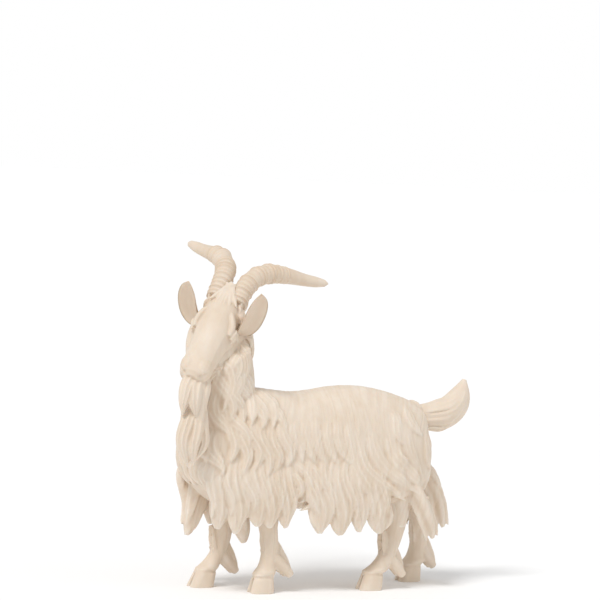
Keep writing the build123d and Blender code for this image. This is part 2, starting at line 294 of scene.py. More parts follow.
def carve(points, normals, line, width, depth):
    """Moves points near a line inward, as a gouge does. A negative depth raises a bead."""
    tree = KDTree(len(line))
    for i, p in enumerate(line):
        tree.insert(p, i)
    tree.balance()
    low = np.min([tuple(p) for p in line], axis=0) - width * 3
    high = np.max([tuple(p) for p in line], axis=0) + width * 3
    near = np.where(np.all((points > low) & (points < high), axis=1))[0]
    gaps = np.array([tree.find(points[i])[2] for i in near])
    points[near] -= normals[near] * (depth * np.exp(-((gaps / width) ** 2)))[:, None]
    return points


def press(points, normals, centre, radius, depth):
    """Dents the surface round a point, or raises it when the depth is negative."""
    gap = np.linalg.norm(points - np.array(centre), axis=1)
    return points - normals * (depth * np.exp(-((gap / radius) ** 2)))[:, None]


def fibres(u, v, pitch, reach, seed):
    """Long soft noise from 0 to 1: it changes over pitch across the hair and over reach along it."""
    table = np.random.default_rng(seed).random((256, 256))
    a, b = u / pitch, v / reach
    i, j = np.floor(a).astype(int), np.floor(b).astype(int)
    f, g = a - i, b - j
    f, g = f * f * (3 - 2 * f), g * g * (3 - 2 * g)
    near = table[i % 256, j % 256] * (1 - f) + table[(i + 1) % 256, j % 256] * f
    far = table[i % 256, (j + 1) % 256] * (1 - f) + table[(i + 1) % 256, (j + 1) % 256] * f
    return near * (1 - g) + far * g


def combed(points, normals, u, v, depth, seed):
    """Cuts fine wavy grooves along v into a surface. The depth may differ from point to point."""
    broad = 1 - np.abs(2 * fibres(u, v, 1.5, 9.0, seed) - 1)
    fine = 1 - np.abs(2 * fibres(u, v, 0.8, 6.0, seed + 1) - 1)
    return points - normals * ((broad**3 * 0.7 + fine**3 * 0.4) * depth)[:, None]


def fuse(name, clay, voxel, rounds, finish=None, faces=190000):
    """Makes one object from gathered clay: fused, evened out, detailed by finish, and thinned.

    The voxel size is in metres.
    """
    mesh = bpy.data.meshes.new(name)
    mesh.from_pydata([tuple(p) for p in clay.points], [], clay.faces)
    size = voxel / MM * 1
    mesh = through_modifier(mesh, "REMESH", mode="VOXEL", voxel_size=size, adaptivity=0.0)
    points, edges, _ = mesh_arrays(mesh)
    points = smoothed(points, edges, rounds)
    mesh.vertices.foreach_set("co", points.ravel())
    mesh.update()
    if finish:
        points, _, normals = mesh_arrays(mesh)
        mesh.vertices.foreach_set("co", finish(points, normals).ravel())
        mesh.update()
    triangles = 2 * len(mesh.polygons)
    if triangles > faces:
        mesh = through_modifier(mesh, "DECIMATE", ratio=faces / triangles)
    return finished(name, mesh)


def finished(name, mesh):
    """An object in metres from a mesh in millimetres, with a hollow mask that drives painted shade in the
    cuts and painted highlight on the ridges.
    """
    points, edges, normals = mesh_arrays(mesh)
    even = smoothed(points.copy(), edges, 9, shrink=0.6, swell=0.0)
    # how far each point lies below its evened-out neighbours: positive in cuts and creases, for painted
    # shade; negative on ridges, for painted highlight
    hollow = np.einsum("ij,ij->i", even - points, normals)
    hollow = np.clip(hollow * 2.2, -1, 1).astype(np.float32)
    mask = mesh.attributes.new("hollow", "FLOAT", "POINT")
    mask.data.foreach_set("value", hollow)
    mesh.vertices.foreach_set("co", (points * MM).ravel())
    mesh.update()
    mesh.name = name
    for polygon in mesh.polygons:
        polygon.use_smooth = True
    obj = bpy.data.objects.new(name, mesh)
    bpy.context.scene.collection.objects.link(obj)
    return obj


def settle(obj, *nodes, slot="carved_wood"):
    """Hands a finished piece to the frame in place of its CAD nodes."""
    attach(obj, "root")
    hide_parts(*nodes)
    obj.data.materials.clear()
    colours = bpy.context.scene.goat_wood
    obj.data.materials.append(wood("Linden wood", colours.light, colours.dark))


# Wood --------------------------------------------------------------------------------------------


def group_socket(group, name, kind, default=None, into=True):
    """Adds a socket to a node group's interface."""
    socket = group.interface.new_socket(name, in_out="INPUT" if into else "OUTPUT", socket_type=kind)
    if default is not None:
        socket.default_value = default
    return socket


def add_node(tree, kind, values=(), **settings):
    """Adds a shader node with its settings and its sockets' values."""
    node = tree.nodes.new(kind)
    for key, value in settings.items():
        setattr(node, key, value)
    for socket, value in dict(values).items():
        node.inputs[socket].default_value = value
    return node


def grain_group():
    """Node group: pale figure of the wood, with growth lines, fine pores and slow patches."""
    group = bpy.data.node_groups.get("Carved grain")
    if group:
        return group
    group = bpy.data.node_groups.new("Carved grain", "ShaderNodeTree")
    group_socket(group, "Light wood", "NodeSocketColor", (0.86, 0.77, 0.66, 1))
    group_socket(group, "Dark wood", "NodeSocketColor", (0.74, 0.6, 0.45, 1))
    group_socket(group, "Color", "NodeSocketColor", into=False)
    group_socket(group, "Height", "NodeSocketFloat", into=False)
    link = group.links.new
    given, made = add_node(group, "NodeGroupInput"), add_node(group, "NodeGroupOutput")
    place = add_node(group, "ShaderNodeTexCoord")
    # the grain runs along the trunk, a little askew, and is ten times as long as it is wide
    lay = add_node(group, "ShaderNodeMapping", {"Rotation": (0.25, 0.1, 0.35), "Scale": (900, 900, 90)})
    link(place.outputs["Object"], lay.inputs["Vector"])
    lines = add_node(group, "ShaderNodeTexNoise", {"Scale": 0.45, "Detail": 4})
    link(lay.outputs["Vector"], lines.inputs["Vector"])
    patches = add_node(group, "ShaderNodeTexNoise", {"Scale": 70, "Detail": 2})
    link(place.outputs["Object"], patches.inputs["Vector"])
    share = add_node(group, "ShaderNodeMath", {1: 0.55}, operation="MULTIPLY")
    link(patches.outputs["Fac"], share.inputs[0])
    both = add_node(group, "ShaderNodeMath", {1: 0.45}, operation="MULTIPLY_ADD")
    link(lines.outputs["Fac"], both.inputs[0])
    link(share.outputs[0], both.inputs[2])
    spread = add_node(group, "ShaderNodeMapRange", {"From Min": 0.35, "From Max": 0.68})
    link(both.outputs[0], spread.inputs["Value"])
    mix = add_node(group, "ShaderNodeMix", data_type="RGBA")
    link(spread.outputs["Result"], mix.inputs["Factor"])
    link(given.outputs["Light wood"], mix.inputs["A"])
    link(given.outputs["Dark wood"], mix.inputs["B"])
    link(mix.outputs["Result"], made.inputs["Color"])
    link(lines.outputs["Fac"], made.inputs["Height"])
    return group


def hollow_group():
    """Node group: painted shade, a warmer, darker colour in the cuts and creases, and painted highlight, a
    paler colour on the ridges, both from the hollow mask.
    """
    group = bpy.data.node_groups.get("Cut shading")
    if group:
        return group
    group = bpy.data.node_groups.new("Cut shading", "ShaderNodeTree")
    group_socket(group, "Color", "NodeSocketColor", (0.8, 0.7, 0.6, 1))
    group_socket(group, "Painted cut shade", "NodeSocketColor", (0.56, 0.39, 0.245, 1))
    group_socket(group, "Painted ridge highlight", "NodeSocketColor", (0.92, 0.85, 0.765, 1))
    group_socket(group, "Color", "NodeSocketColor", into=False)
    link = group.links.new
    given, made = add_node(group, "NodeGroupInput"), add_node(group, "NodeGroupOutput")
    mask = add_node(group, "ShaderNodeAttribute", attribute_name="hollow")
    shade = given.outputs["Color"]
    # painted shade goes into the cuts and painted highlight onto the ridges, in step with the hollow mask
    for tint, low, high, most in (("Painted cut shade", 0.05, 0.8, 0.6), ("Painted ridge highlight", -0.05, -0.7, 0.7)):
        amount = add_node(group, "ShaderNodeMapRange", {"From Min": low, "From Max": high, "To Max": most})
        link(mask.outputs["Fac"], amount.inputs["Value"])
        mix = add_node(group, "ShaderNodeMix", data_type="RGBA")
        link(amount.outputs["Result"], mix.inputs["Factor"])
        link(shade, mix.inputs["A"])
        link(given.outputs[tint], mix.inputs["B"])
        shade = mix.outputs["Result"]
    link(shade, made.inputs["Color"])
    return group


class GoatWood(bpy.types.PropertyGroup):
    """Colours of the wood."""

    light: bpy.props.FloatVectorProperty(
        name="Light wood",
        description="Palest colour of the wood",
        subtype="COLOR",
        default=(0.78, 0.675, 0.565),
    )
    dark: bpy.props.FloatVectorProperty(
        name="Dark wood",
        description="Darkest colour of the wood",
        subtype="COLOR",
        default=(0.715, 0.59, 0.46),
    )
    dowel_light: bpy.props.FloatVectorProperty(
        name="Light dowel",
        description="Palest colour of the dowels",
        subtype="COLOR",
        default=(0.8, 0.66, 0.48),
    )
    dowel_dark: bpy.props.FloatVectorProperty(
        name="Dark dowel",
        description="Darkest colour of the dowels",
        subtype="COLOR",
        default=(0.66, 0.5, 0.33),
    )


def wood(name, light, dark):
    """A bare carved wood between two colours, made once."""
    found = bpy.data.materials.get(name)
    if found:
        return found
    material = bpy.data.materials.new(name)
    material.use_nodes = True
    tree = material.node_tree
    shader = tree.nodes["Principled BSDF"]
    shader.inputs["Roughness"].default_value = 0.55
    shader.inputs["Subsurface Weight"].default_value = 0.12
    shader.inputs["Subsurface Radius"].default_value = (0.0012, 0.0007, 0.0004)
    shader.inputs["Subsurface Scale"].default_value = 1.0
    shader.inputs["Specular IOR Level"].default_value = 0.35
    grain = add_node(tree, "ShaderNodeGroup", node_tree=grain_group())
    grain.inputs["Light wood"].default_value = (*light, 1)
    grain.inputs["Dark wood"].default_value = (*dark, 1)
    # painted shade in the cuts and painted highlight on the ridges, laid over the wood's grain colour
    cuts = add_node(tree, "ShaderNodeGroup", node_tree=hollow_group())
    bump = add_node(tree, "ShaderNodeBump", {"Strength": 0.12, "Distance": 0.0003})
    tree.links.new(grain.outputs["Color"], cuts.inputs["Color"])
    tree.links.new(cuts.outputs["Color"], shader.inputs["Base Color"])
    tree.links.new(grain.outputs["Height"], bump.inputs["Height"])
    tree.links.new(bump.outputs["Normal"], shader.inputs["Normal"])
    return material


# Coat --------------------------------------------------------------------------------------------

# The hem's tongues: distance behind the centre, distance out, tip height, half width, lean
HEM = [
    (-33.0, 9.8, 22.0, 3.4, -1.0),
    (-27.5, 11.2, 20.5, 3.4, -0.5),
    (-21.0, 12.2, 23.0, 3.8, 0.5),
    (-16.5, 12.5, 22.4, 3.4, 0.3),
    (-11.5, 12.6, 22.4, 2.8, 1.0),
    (15.6, 13.0, 20.6, 3.0, 1.0),
    (21.5, 12.8, 20.6, 3.6, 1.6),
]
LEFT_TONGUES = [(1.2, 13.0, 20.4, 3.8, 0.9), (8.6, 13.0, 19.6, 4.2, 1.2)]
SHOULDER_TONGUE = (-33.5, 9.8, 17.0, 3.2, -3.3)
RIGHT_TONGUES = [SHOULDER_TONGUE, (-4.6, 12.8, 22.6, 3.4, 0.5)]

# Tufts swept back from the thighs
RUMP = [
    [(35, -9.0, 42), (38.5, -10.0, 34), (43, -10.0, 26), (46.5, -9.5, 17.5)],
    [(39, 8.5, 44), (42.5, 10.0, 35), (46, 10.0, 27), (48.5, 9.5, 20)],
    [(38, 6.0, 46), (47, 6.6, 38), (52.5, 6.6, 28), (53.5, 6.0, 18.5)],
    [(39, 5.0, 50), (48.5, 5.4, 40), (55, 5.8, 29), (58.6, 6.0, 18.8)],
]

# Single locks drawn on both flanks: points as distance behind the centre and height, then half width
# and thickness
FLANK_LOCKS = [
    # shoulder
    ([(-34.5, 73), (-32.0, 68), (-28.0, 63), (-27.3, 58.5), (-28.6, 55)], 2.3, 1.9),
    ([(-31.0, 74), (-27.6, 69), (-24.0, 65), (-22.0, 60)], 2.2, 1.7),
    ([(-27.0, 71), (-23.0, 67), (-19.5, 63), (-17.2, 58)], 2.2, 1.4),
    ([(-22.0, 68), (-18.0, 64), (-14.0, 60), (-11.8, 54.5)], 2.3, 1.1),
    ([(-30.0, 62), (-31.6, 56), (-30.0, 50), (-32.0, 44)], 2.5, 1.8),
    ([(-27.0, 60), (-28.4, 54), (-25.6, 47), (-27.6, 40)], 2.5, 1.8),
    ([(-24.0, 61), (-24.6, 54), (-21.4, 48), (-23.4, 41)], 2.5, 1.7),
    ([(-20.0, 60), (-21.4, 53), (-18.0, 46), (-19.0, 39)], 2.6, 1.7),
    ([(-16.0, 58), (-17.4, 52), (-14.6, 46), (-16.6, 41)], 2.4, 1.5),
    ([(-12.0, 60), (-13.4, 54), (-10.4, 48), (-11.6, 43)], 2.5, 1.2),
    # belly
    ([(-8.0, 60), (-9.0, 54), (-6.4, 48), (-6.0, 44.5)], 2.4, 0.8),
    ([(-4.0, 60), (-5.0, 54), (-3.2, 48), (-1.0, 44)], 2.2, 0.8),
    ([(-0.6, 61), (-1.2, 54), (0.2, 48), (3.0, 43.6)], 2.2, 0.9),
    ([(3.6, 60), (2.8, 54), (4.4, 48), (7.6, 43.4)], 2.1, 0.9),
    ([(7.6, 61), (6.6, 55), (8.0, 49), (11.6, 43.6)], 2.1, 1.0),
    ([(11.6, 60), (10.6, 54), (11.8, 48), (13.6, 41.0)], 2.1, 1.1),
    # swirl over the gap in the hem
    ([(-6.6, 46), (-1.6, 42), (0.8, 37), (-1.0, 31.5), (-3.8, 29.0), (-6.4, 28.4)], 1.8, 1.5),
    ([(-9.6, 45), (-4.6, 41), (-2.6, 36.5), (-4.0, 32.4), (-7.2, 30.8)], 1.8, 1.4),
    ([(-12.0, 42), (-8.0, 39), (-6.4, 35.5), (-8.4, 32.6), (-11.0, 31.6)], 1.7, 1.4),
    # thigh
    ([(13.6, 56), (12.8, 49), (14.6, 42), (20.4, 34.5), (26.6, 29), (28.0, 24), (24.6, 20.4)], 2.6, 1.5),
    ([(12.6, 50), (12.6, 43), (16.0, 36), (20.6, 30), (23.4, 25), (21.6, 21.6)], 2.2, 1.3),
    ([(15.4, 60), (14.0, 52), (16.6, 43), (22.4, 37.8), (28.6, 34.2), (34.0, 31.0)], 2.6, 1.3),
    ([(21.0, 60), (19.6, 52), (22.4, 45), (27.4, 40.4), (33.0, 37.0), (38.0, 33.6)], 2.7, 0.8),
    ([(27.0, 60), (26.2, 52), (28.6, 46), (34.0, 41.4), (39.4, 37), (43.0, 32)], 2.8, 0.7),
    ([(33.5, 60), (33.2, 53), (34.6, 48), (37.6, 43.4), (40.4, 39)], 2.4, 0.7),
]

# Hair that runs down into the left and right hind legs, and its radii from the top
THIGH_RADII = [(8.2, 6.4), (6.6, 5.2), (4.6, 4.2), (3.9, 3.5), (3.4, 3.2)]
THIGHS = [
    (-1, [(28, 2.5, 53), (30, 7.8, 43), (32.4, 8.4, 34), (33.8, 7.6, 27), (33.2, 7.0, 22)]),
    (1, [(35, 2.5, 53), (38.5, 7.0, 43), (43.0, 8.0, 34), (47.4, 7.4, 28), (49.0, 7.0, 22)]),
]


BELLY_EDGE = 33  # the height below which the flank's locks hang free
BRISKET = [(-2.0, 18), (0, 15.8), (2.0, 18.5)]  # distance from the median plane and height of each tip
# Locks round the neck: height, distance behind the centre, length and thickness
NECK_TIERS = [(91, -30, 24, 1.3), (79, -31.3, 25, 1.5), (68, -31.5, 20, 1.6)]
# Long locks of the chest: height, length and step round the neck's axis
CHEST_TIERS = [(58, 20, 0.3), (50, 15, 0.34)]
# Locks of the rump: height, length and thickness
RUMP_TIERS = [(63, 15, 0.8), (55, 15, 1.1), (47, 14, 1.3), (40, 11, 1.4)]


def coat_heading(place, out):
    """Which way the hair lies: down, away from the spine, and swept back towards the rump."""
    side = 1 if place.y >= 0 else -1
    top = max(out.z, 0)
    back = 0.14 + 0.5 * top + 0.35 * min(max((place.x - 24) / 16, 0), 1)
    if place.z > 66:
        back = 0.05 - 0.05 * top
    return Vector((back, side * 0.8 * top, -1))


class GoatCoat(bpy.types.PropertyGroup):
    """Settings of the coat."""

    neck_wave: bpy.props.FloatProperty(
        name="Neck wave",
        description="How far the neck's locks swing either way",
        default=0.62,
        unit="ROTATION",
    )
    groove_depth: bpy.props.FloatProperty(
        name="Groove depth",
        description="Depth of the fine grooves combed into the coat",
        default=0.00024,
        unit="LENGTH",
    )
    seed: bpy.props.IntProperty(name="Seed", description="Picks the locks' small differences", default=7)
    voxel: bpy.props.FloatProperty(
        name="Voxel", description="Finest detail kept when the coat is fused", default=0.00038, unit="LENGTH"
    )


def hang_lock(clay, points, facing, width, thick, count=16, **shape):
    """Adds one lock through points, facing the same way all along."""
    clay.lock(flowing(points, count), [Vector(facing).normalized()] * count, width, thick, **shape)


def phase_at(point, chance):
    """Where in its wave a lock starts: nearly as its neighbours do."""
    return 0.07 * point.x + 0.11 * point.z + chance.uniform(-0.5, 0.5)


def lay_neck(clay, hide, chance, wave):
    """Tiers of waved locks round the neck, then long S-shaped locks down the chest."""
    for height, centre, length, thick in NECK_TIERS:
        turn = chance.uniform(0, 0.3)
        while turn < 2 * math.pi:
            start, out = hide.round(centre, 0, height + chance.uniform(-2.4, 2.4), turn)
            if start is not None and (start - DATUM).x < -15:
                reach = length * chance.uniform(0.8, 1.1)
                path, outs = hide.trace(start, out, reach, coat_heading, wave, phase_at(start, chance), 0.9)
                flatter = 0.7 if abs(turn - math.pi) > 2.2 else 1
                clay.lock(path, outs, chance.uniform(2.4, 3.2), thick * flatter, lift=0.8)
            turn += 0.5 * chance.uniform(0.85, 1.2)
    for height, length, step in CHEST_TIERS:
        for turn in np.arange(2.0, 4.35, step):
            start, out = hide.round(-30, 0, height + chance.uniform(-2.4, 2.4), turn)
            reach = length * chance.uniform(0.85, 1.1)
            phase = phase_at(start, chance)
            path, outs = hide.trace(start, out, reach, coat_heading, 0.6, phase, 1.0, hang=30)
            clay.lock(path, outs, chance.uniform(2.2, 2.9), 1.8, lift=0.8)


def flank_line(hide, line, side):
    """A smooth line over one flank, through points given by distance behind the centre and height."""
    path, outs = [], []
    for x, _, z in flowing([(x, 0, z) for x, z in line], 18):
        place, out = hide.side(x, side, z)
        if place is None or z < BELLY_EDGE:
            place, out = spot(x, side * 12.6, z), Vector((0, side, 0.1))
        path.append(place)
        outs.append(out)
    mean = outs[0]
    for i, out in enumerate(outs):
        mean = mean.lerp(out, 0.4) if i else out.copy()
        outs[i] = mean.normalized()
    return path, outs


def lay_flanks(clay, hide):
    """The locks drawn on both flanks, and the hair that runs into the hind legs."""
    for side in (-1, 1):
        for line, half, thick in FLANK_LOCKS:
            path, outs = flank_line(hide, line, side)
            clay.lock(path, outs, half, thick, bury=1.4, lift=0.5)
    for side, line in THIGHS:
        clay.lump([spot(x, side * y, z) for x, y, z in line], THIGH_RADII, (1, 0, 0))


def lay_rump(clay, hide, chance):
    """Locks over the rump and a swell under the tail's root."""
    clay.ball(spot(40.4, 0, 57.8), (4.6, 5.4, 6.6))
    for height, length, thick in RUMP_TIERS:
        y = -9.5 + chance.uniform(0, 1)
        while y < 9.6:
            behind = spot(80, y, height + chance.uniform(-1.5, 1.5))
            place, out, _, _ = hide.tree.ray_cast(behind, Vector((-1, 0, 0)))
            if place is not None and (abs(y) > 4.5 or height < 53):
                phase = phase_at(place, chance)
                path, outs = hide.trace(place, out, length, coat_heading, 0.4, phase, 0.9, hang=31)
                clay.lock(path, outs, 2.3, thick, lift=0.6)
            y += 3.4 * chance.uniform(0.85, 1.15)


def lay_hem(clay, hide, chance):
    """Tongues of three locks each, hanging clear of the belly."""
    for side, extra in ((-1, LEFT_TONGUES), (1, RIGHT_TONGUES)):
        for x, y, tip, half, lean in HEM + extra:
            bend = chance.uniform(0.8, 1.8)
            for offset, drop, share in (
                (0, 1, 1.12),
                (0.62, chance.uniform(0.72, 0.9), 0.6),
                (-0.66, chance.uniform(0.7, 0.88), 0.55),
            ):
                start, _ = hide.side(x + offset * half * 1.3 - 1.0, side, 47 + chance.uniform(-2, 2))
                if start is None:
                    continue
                end = spot(x + lean + offset * half * 1.1, side * (y + 0.4), 40 + (tip - 40) * drop)
                first = start.lerp(end, 0.33) + Vector((-bend, side * 0.6, 0))
                second = start.lerp(end, 0.7) + Vector((bend * 0.7, side * (1.0 if offset else 0.6), 0))
                line, facing = [start, first, second, end], (0.25 * offset, side, 0.12)
                thick = 1.7 if offset else 2.0
                hang_lock(clay, line, facing, half * share, thick, 18, bury=1.7, lift=0.15, blunt=0.12)


def lay_tufts(clay):
    """The tufts that hang free: in front of the right shoulder, behind the thighs and at the brisket."""
    x, y, tip, _, lean = SHOULDER_TONGUE
    for offset in (-1.9, 0, 1.9):
        line = [
            spot(x - 1.0, y - 3 + offset, 46),
            spot(x - 2.4, y - 2 + offset, 38),
            spot(x - 3.4, y - 0.6 + offset, 28),
            spot(x + lean - 0.8, y + offset * 0.4, tip + abs(offset)),
        ]
        hang_lock(clay, line, (-0.75, -0.6, 0.1), 2.2, 2.0, strands=2, bury=2.0, lift=0.1, blunt=0.14)
    for tuft in RUMP:
        side = 1 if tuft[0][1] > 0 else -1
        for offset in (-1.7, 0, 1.8):
            line = [spot(x + offset * i * 0.4, y, z + offset * 0.5) for i, (x, y, z) in enumerate(tuft)]
            facing = (0.55, side * 0.8, 0.2)
            hang_lock(clay, line, facing, 2.4, 2.6, strands=2, bury=1.8, lift=0.2, blunt=0.12)
    for offset, tip in BRISKET:
        line = [
            spot(-26, offset, 38),
            spot(-24.5, offset * 1.2, 30),
            spot(-22, offset * 1.2, 23),
            spot(-20, offset * 0.8, tip),
        ]
        facing = (-0.8, offset * 0.2, 0.1)
        hang_lock(clay, line, facing, 2.0, 2.4, 14, strands=2, bury=1.9, lift=0.1, blunt=0.16)


class GOAT_OT_body(bpy.types.Operator):
    """Model the body, the neck and the coat"""

    bl_idname = "goat.body"
    bl_label = "Body and Coat"

    def execute(self, context):
        coat = context.scene.goat_coat
        chance = random.Random(coat.seed)
        hide = Hide("body")
        clay = Clay()
        clay.node("body")
        lay_neck(clay, hide, chance, coat.neck_wave)
        lay_flanks(clay, hide)
        lay_rump(clay, hide, chance)
        lay_hem(clay, hide, chance)
        lay_tufts(clay)

        def finish(points, normals):
            x, y, z = (points - np.array(DATUM)).T
            flank = x + 1.3 * np.sin(z / 5.5 + x / 8) + 0.25 * np.abs(y)
            around = np.arctan2(y, x + 31) * 11 + 1.2 * np.sin(z / 4.5)
            front = 1 / (1 + np.exp((x + 20) / 2.5))
            crown = np.clip((z - 60) / 9, 0, 1) * (1 - front)
            depth = coat.groove_depth * 1000 - 0.08 * crown
            points = combed(points, normals, flank, z + np.abs(y) * 0.4, depth * (1 - front), 5)
            return combed(points, normals, around, z, depth * front, 9)

        settle(fuse("body_carving", clay, coat.voxel, 1, finish), "body")
        return {"FINISHED"}


# Head --------------------------------------------------------------------------------------------


class GoatHead(bpy.types.PropertyGroup):
    """Settings of the head."""

    eye_radius: bpy.props.FloatProperty(
        name="Eye radius", description="Radius of an eyeball", default=0.0018, unit="LENGTH"
    )
    mouth_depth: bpy.props.FloatProperty(
        name="Mouth depth", description="Depth of the cut between the lips", default=0.0008, unit="LENGTH"
    )
    voxel: bpy.props.FloatProperty(
        name="Voxel", description="Finest detail kept when the head is fused", default=0.00026, unit="LENGTH"
    )


# Face sections: distance from the poll, half width, top and bottom
FACE = [
    (-4.5, 4.4, -2.4, -11.0),
    (-2.5, 5.8, -0.2, -13.0),
    (1.0, 6.5, 0.9, -13.6),
    (5.0, 6.9, 1.3, -14.0),
    (9.0, 6.8, 1.2, -14.2),
    (13.0, 6.5, 0.5, -13.8),
    (17.0, 6.0, -0.4, -13.0),
    (21.0, 5.5, -1.0, -12.0),
    (25.0, 5.3, -1.3, -11.2),
    (28.5, 5.3, -1.7, -10.8),
    (31.0, 4.4, -2.6, -10.0),
    (32.2, 2.4, -4.0, -8.6),
]

# Beard strands, from the goat's own centre: line, half width and thickness
BEARD = [
    ([(-42.0, -9.0, 74.5), (-47.4, -12.6, 71.5), (-49.6, -14.0, 66), (-50.0, -14.0, 60.2)], 2.3, 2.0),
    ([(-42.0, -9.0, 74.0), (-45.8, -13.4, 70.0), (-46.6, -15.0, 65), (-45.6, -14.8, 59.6)], 2.6, 2.3),
    ([(-40.5, -8.0, 74.0), (-42.6, -12.4, 70.0), (-43.2, -13.6, 65), (-41.6, -13.0, 60.6)], 2.5, 2.2),
    ([(-41.0, -8.0, 72.0), (-45.0, -11.0, 68.0), (-44.6, -12.4, 62), (-45.4, -12.4, 56.0)], 3.0, 2.2),
    ([(-44.0, -11.0, 66.0), (-47.8, -13.4, 58.0), (-49.4, -13.8, 51), (-46.8, -13.4, 42.9)], 2.4, 2.2),
    ([(-43.5, -11.0, 66.0), (-44.9, -14.0, 57.0), (-46.2, -15.0, 50), (-45.4, -13.8, 43.6)], 2.4, 2.3),
    ([(-42.5, -11.0, 66.0), (-43.0, -13.0, 57.0), (-42.2, -13.4, 51), (-44.6, -13.0, 45.0)], 2.4, 2.2),
]


# Lumps of one side of the face: points as (across, up, along), then radii
FACE_LUMPS = [
    # brow
    (
        [(3.2, -1.0, 5), (5.0, -1.0, 8), (6.0, -1.9, 10.6), (6.0, -2.9, 13.2)],
        [(1.0, 0.9), (1.5, 1.1), (1.4, 1.1), (0.9, 0.7)],
    ),
    # cheekbone
    ([(5.7, -7.4, 8), (5.4, -7.4, 13), (4.4, -7.0, 18)], [(2.2, 1.8), (2.3, 1.8), (1.2, 1.0)]),
    # jaw
    (
        [(5.6, -10.8, 2), (5.9, -11.6, 8), (5.2, -10.8, 14), (3.8, -9.4, 21)],
        [(3.7, 3.6), (4.1, 3.9), (3.6, 3.4), (2.3, 2.1)],
    ),
]
EYE = (6.1, -4.8, 11.8)
EYELIDS = [
    ([(6.8, -4.0, 9.2), (7.4, -2.9, 11.4), (6.6, -3.8, 14.0)], [(0.6, 0.55)] * 3),
    ([(6.8, -5.0, 9.2), (7.4, -6.2, 11.4), (6.6, -5.4, 13.8)], [(0.5, 0.5)] * 3),
]
MUZZLE_BALLS = [((2.3, -4.9, 27.6), (3.0, 3.4, 4.0)), ((1.8, -6.8, 28.8), (2.9, 2.6, 3.2))]
# Cuts and dents of one side of the face
HOLLOWS = [((6.7, -4.4, 8.4), 1.3, 0.5), ((6.2, -4.6, 15.2), 1.3, 0.5), ((2.9, -4.2, 31.6), 0.7, 0.6)]
NOSTRIL = [(2.6, -4.6, 32.0), (3.9, -3.9, 30.8), (4.6, -4.2, 29.0)]
MOUTH = [(0, -8.9, 32), (2.9, -8.8, 30.6), (4.7, -8.6, 27), (5.2, -7.6, 23)]
NOSE_RIDGE = [(4.9, -1.6, 14.5), (4.3, -2.6, 20), (4.2, -3.4, 25)]
# Locks from the jaw: where each starts on the head, and its length
JAW_LOCKS = [
    (6.6, -10.5, 0, 17),
    (6.8, -10.0, 4, 18),
    (6.6, -10.4, 8, 17),
    (5.6, -10.8, 12, 16),
    (4.6, -10.8, 16, 14),
]
# Locks of the forehead: place across, how far down the forehead each ends, and how far it fans out
FORELOCK = [
    (-2.4, 3.6, 2.1),
    (-1.5, 5.2, 1.8),
    (-0.5, 7.4, 1.3),
    (0.6, 7.0, 1.4),
    (1.5, 5.4, 1.9),
    (2.4, 3.8, 2.1),
]
CROWN_TUFT = [(-1.4, 1.4, -4.8), (-0.1, 2.2, -5.2), (1.2, 1.6, -4.8)]
HORN_ROOT_LOCKS = [(4.8, 0.2, -2.4), (5.8, -0.8, -0.2), (6.2, -1.8, 2.4)]


def lay_face(clay, eye_radius):
    """The skull, and the lumps, muzzle, eyes and lids of both sides."""
    rings = []
    for along, half, top, bottom in FACE:
        middle, tall = (top + bottom) / 2, (top - bottom) / 2
        ring = []
        for turn in np.linspace(0, 2 * math.pi, 28, endpoint=False):
            across, up = math.cos(turn), math.sin(turn)
            narrow = 1 - 0.16 * max(up, 0) - 0.12 * max(-up, 0)
            across = math.copysign(abs(across) ** 0.72, across) * half * narrow
            ring.append(on_head(across, middle + tall * math.copysign(abs(up) ** 0.78, up), along))
        rings.append(ring)
    clay.rings(rings)
    for side in (-1, 1):
        for line, radii in FACE_LUMPS:
            clay.lump([on_head(side * a, b, c) for a, b, c in line], radii, UP)
        for line, radii in EYELIDS:
            clay.lump([on_head(side * a, b, c) for a, b, c in line], radii, UP, 10, 16)
        for (across, up, along), radii in MUZZLE_BALLS:
            clay.ball(on_head(side * across, up, along), radii, (LEFT, UP, AHEAD))
        across, up, along = EYE
        clay.ball(on_head(side * across, up, along), [eye_radius] * 3)
    chin = [on_head(-2.4, -9.9, 27.0), on_head(0, -10.1, 28.0), on_head(2.4, -9.9, 27.0)]
    clay.lump(chin, [(1.7, 1.6), (2, 1.8), (1.7, 1.6)], UP)
    clay.ball(on_head(0, -5.4, -3.2), (6.6, 5.6, 4.6), (LEFT, UP, AHEAD))  # back of the skull


def lay_ruff(clay, chance):
    """Hair from the back of the skull and the jaw, over the joint with the neck."""
    hide = Hide("head", "body")
    behind = math.radians(HEAD_TURN[0])
    for height, arc, length in ((99, 1.0, 17), (95, 1.15, 18)):
        turn = behind - arc
        while turn < behind + arc:
            start, out = hide.round(-29, -1, height, turn)
            if start is not None:
                reach = length * chance.uniform(0.85, 1.15)
                path, outs = hide.trace(start, out, reach, coat_heading, 0.5, 0.11 * start.z, 0.9)
                clay.lock(path, outs, 2.4, 1.5, bury=1.6)
            turn += 0.36 * chance.uniform(0.85, 1.15)
    for side in (-1, 1):
        for across, up, along, length in JAW_LOCKS:
            start, out = hide.nearest(on_head(side * across, up, along))
            phase = 0.11 * start.z + 0.3 * along
            path, outs = hide.trace(start, out, length, coat_heading, 0.55, phase, 0.9)
            clay.lock(path, outs, 2.4, 1.5, bury=1.8)


